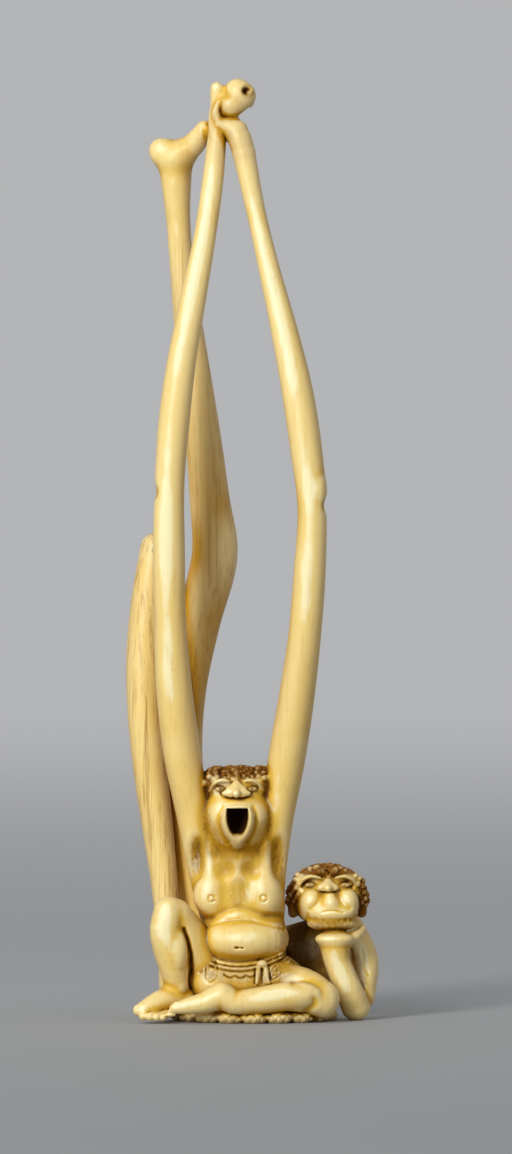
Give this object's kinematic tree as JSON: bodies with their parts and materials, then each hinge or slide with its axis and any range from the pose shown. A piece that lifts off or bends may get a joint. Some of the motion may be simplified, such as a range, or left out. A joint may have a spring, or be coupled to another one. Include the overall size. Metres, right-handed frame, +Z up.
{
  "type": "netsuke",
  "caption": "Tall carved ivory netsuke of a yawning, long-armed seated figure with a long-legged figure reclining behind, limbs raised high and joined above.",
  "frame": {"origin": "on the surface it stands on, under the middle of the carving's outline", "axes": "+X to the viewer's right, -Y towards the viewer, whom the seated figure faces, +Z up along the raised limbs"},
  "size_m": [0.034, 0.0234, 0.1264],
  "materials": {
    "ivory": "polished aged ivory, satin, browned in the carving"
  },
  "bodies": {
    "root": {"netsuke": "ivory"}
  },
  "joints": []
}
